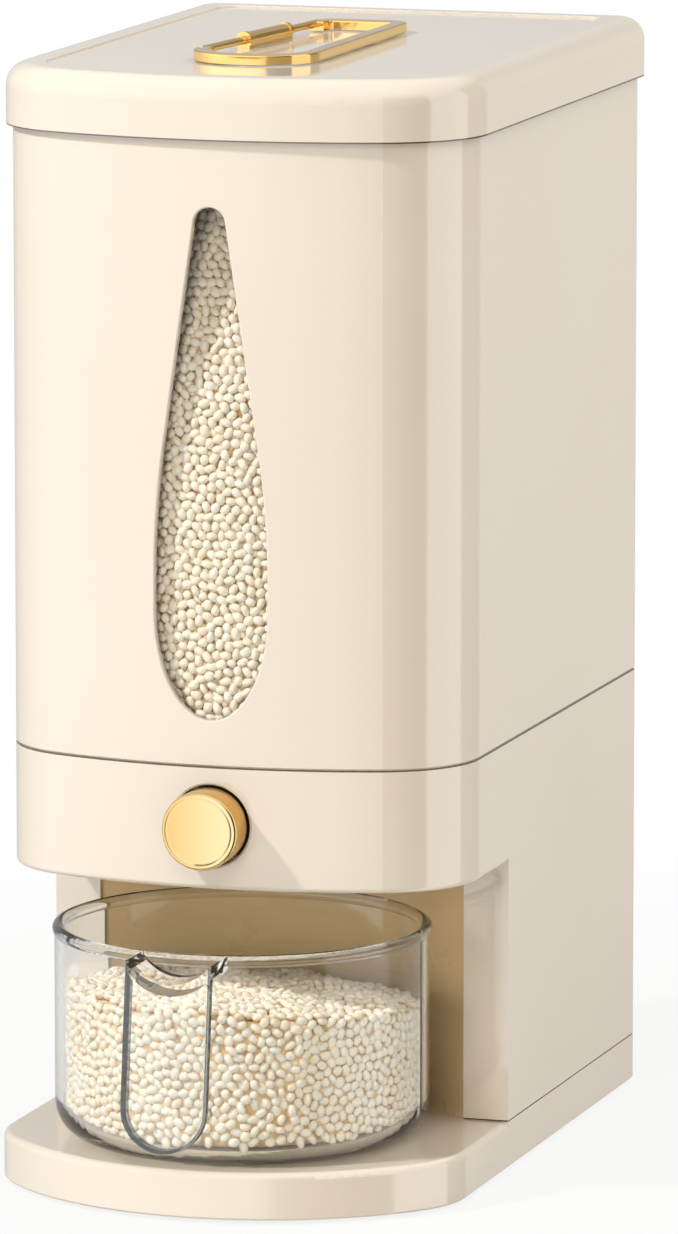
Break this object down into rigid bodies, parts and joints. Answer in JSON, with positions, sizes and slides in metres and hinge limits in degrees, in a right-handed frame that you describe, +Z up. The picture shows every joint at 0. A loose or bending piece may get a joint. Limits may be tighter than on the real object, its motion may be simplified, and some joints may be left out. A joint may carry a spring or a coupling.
{
  "type": "rice dispenser",
  "caption": "Bow-fronted countertop rice dispenser: windowed bin with a lift-off lid, push button and sprung gate over a bay with a glass measuring cup.",
  "frame": {"origin": "on the worktop, under the middle of the whole object", "axes": "+Z up, -Y out of the front with the button and the cup, +X to the right as one faces the front"},
  "size_m": [0.1904, 0.3387, 0.4385],
  "materials": {
    "ivory_shell": "glossy ivory moulded plastic",
    "white_inner": "plain white moulded plastic",
    "steel": "zinc plated steel",
    "soft_rubber": "soft grey rubber",
    "clear_seal": "milky silicone",
    "clear_pane": "clear polished plastic",
    "cup_glass": "clear polished glass",
    "dark_sleeve": "dark moulded plastic",
    "gold_plate": "gold plated plastic, satin face",
    "gold_metal": "polished gold plated metal"
  },
  "bodies": {
    "housing": {"base_plate": "ivory_shell", "foot_pads": "soft_rubber", "base_screws": "steel", "lower_housing": "ivory_shell", "bay_liner": "ivory_shell", "rice_bin": "ivory_shell", "bin_screws": "steel", "hopper_funnel": "white_inner", "window_pane": "clear_pane", "window_seal": "clear_seal", "gate_guide": "white_inner", "gate_cover": "white_inner", "gate_screws": "steel", "guide_screws": "steel", "button_sleeve": "dark_sleeve", "return_spring": "steel"},
    "button": {"button_cap": "gold_plate", "button_stem": "white_inner", "gate_plate": "white_inner", "stem_screw": "steel"},
    "lid": {"lid_shell": "ivory_shell", "lid_inner": "white_inner", "lid_seal": "clear_seal", "lid_screws": "steel", "pull_bracket": "gold_metal", "pull_nuts": "steel"},
    "pull": {"pull_ring": "gold_metal"},
    "cup": {"measuring_cup": "cup_glass"}
  },
  "joints": [
    {"name": "button_press", "type": "slide", "parent": "housing", "child": "button", "axis": [0, 1, 0], "range_m": [0, 0.012], "stiffness_N_per_m": 300, "springref_m": -0.02, "deforming": ["return_spring"]},
    {"name": "lid_lift", "type": "slide", "parent": "housing", "child": "lid", "axis": [0, 0, 1], "range_m": [0, 0.15]},
    {"name": "pull_swing", "type": "hinge", "parent": "lid", "child": "pull", "pos_m": [-0.0205, 0.02505, 0.4352], "axis": [-0.1097, -0.994, 0], "range_deg": [0, 95]},
    {"name": "cup_slide", "type": "slide", "parent": "housing", "child": "cup", "axis": [0, -1, 0], "range_m": [0, 0.18]}
  ]
}
